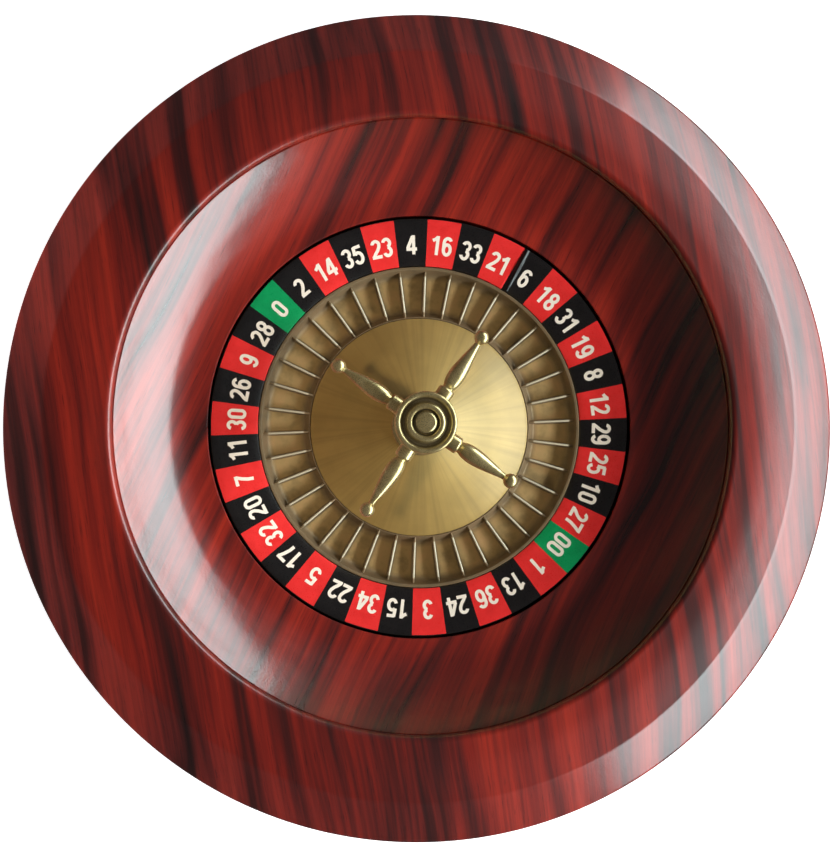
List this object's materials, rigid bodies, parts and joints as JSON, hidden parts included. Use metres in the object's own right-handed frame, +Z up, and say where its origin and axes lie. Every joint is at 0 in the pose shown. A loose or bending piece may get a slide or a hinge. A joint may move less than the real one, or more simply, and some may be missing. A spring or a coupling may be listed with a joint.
{
  "type": "roulette wheel",
  "caption": "Table-top roulette wheel: a turned wooden bowl on rubber feet holds a numbered wheel head with brass pockets, cone and four-armed turret that spins on ball bearings",
  "frame": {"origin": "on the table under the spindle, level with the bottoms of the rubber feet", "axes": "+Z up along the spindle; the seat of number 0 stands 139.9 degrees from +X towards +Y at rest, and the first turret arm 56.3 degrees from +X"},
  "size_m": [0.495, 0.495, 0.124],
  "materials": {
    "rim_mahogany": "red mahogany veneer under satin lacquer",
    "bowl_mahogany": "red mahogany veneer under satin lacquer",
    "black_board": "fibreboard painted satin black",
    "printed_ring": "printed plastic, red, black and green fields",
    "antique_brass": "cast, antiqued dark in the recesses",
    "spun_brass": "spun and fine brushed",
    "polished_brass": "turned and polished",
    "steel": "bright machined",
    "rubber": "matte moulded"
  },
  "bodies": {
    "bowl": {"outer_rim": "rim_mahogany", "ball_track": "bowl_mahogany", "base_board": "black_board", "spindle_flange": "steel", "spindle": "steel", "rim_screw_1": "steel", "rim_screw_2": "steel", "rim_screw_3": "steel", "rim_screw_4": "steel", "rim_screw_5": "steel", "rim_screw_6": "steel", "flange_screw_1": "steel", "flange_screw_2": "steel", "flange_screw_3": "steel", "flange_screw_4": "steel", "foot_1": "rubber", "foot_2": "rubber", "foot_3": "rubber", "foot_4": "rubber", "foot_screw_1": "steel", "foot_screw_2": "steel", "foot_screw_3": "steel", "foot_screw_4": "steel", "lower_inner_race": "steel", "upper_inner_race": "steel", "bearing_spacer": "steel", "spindle_washer": "steel", "spindle_nut": "steel"},
    "wheel_head": {"head_disc": "black_board", "number_ring": "printed_ring", "pocket_ring": "antique_brass", "cone": "spun_brass", "bearing_housing": "steel", "lower_outer_race": "steel", "upper_outer_race": "steel", "housing_screw_1": "steel", "housing_screw_2": "steel", "housing_screw_3": "steel", "housing_screw_4": "steel", "ring_screw_1": "steel", "ring_screw_2": "steel", "ring_screw_3": "steel", "ring_screw_4": "steel", "turret_column": "polished_brass", "turret_boss": "polished_brass", "turret_cap": "polished_brass", "turret_bolt": "polished_brass", "turret_arm_1": "polished_brass", "turret_arm_2": "polished_brass", "turret_arm_3": "polished_brass", "turret_arm_4": "polished_brass"},
    "lower_cage": {"lower_ball_cage": "steel"},
    "upper_cage": {"upper_ball_cage": "steel"}
  },
  "joints": [
    {"name": "head_spin", "type": "hinge", "parent": "bowl", "child": "wheel_head", "pos_m": [0, 0, 0.036], "axis": [0, 0, 1], "continuous": true},
    {"name": "lower_cage_spin", "type": "hinge", "parent": "bowl", "child": "lower_cage", "pos_m": [0, 0, 0.0275], "axis": [0, 0, 1], "continuous": true},
    {"name": "upper_cage_spin", "type": "hinge", "parent": "bowl", "child": "upper_cage", "pos_m": [0, 0, 0.0445], "axis": [0, 0, 1], "continuous": true}
  ],
  "couplings": [
    {"joint": "lower_cage_spin", "follows": "head_spin", "ratio": 0.6151},
    {"joint": "upper_cage_spin", "follows": "head_spin", "ratio": 0.6151}
  ]
}
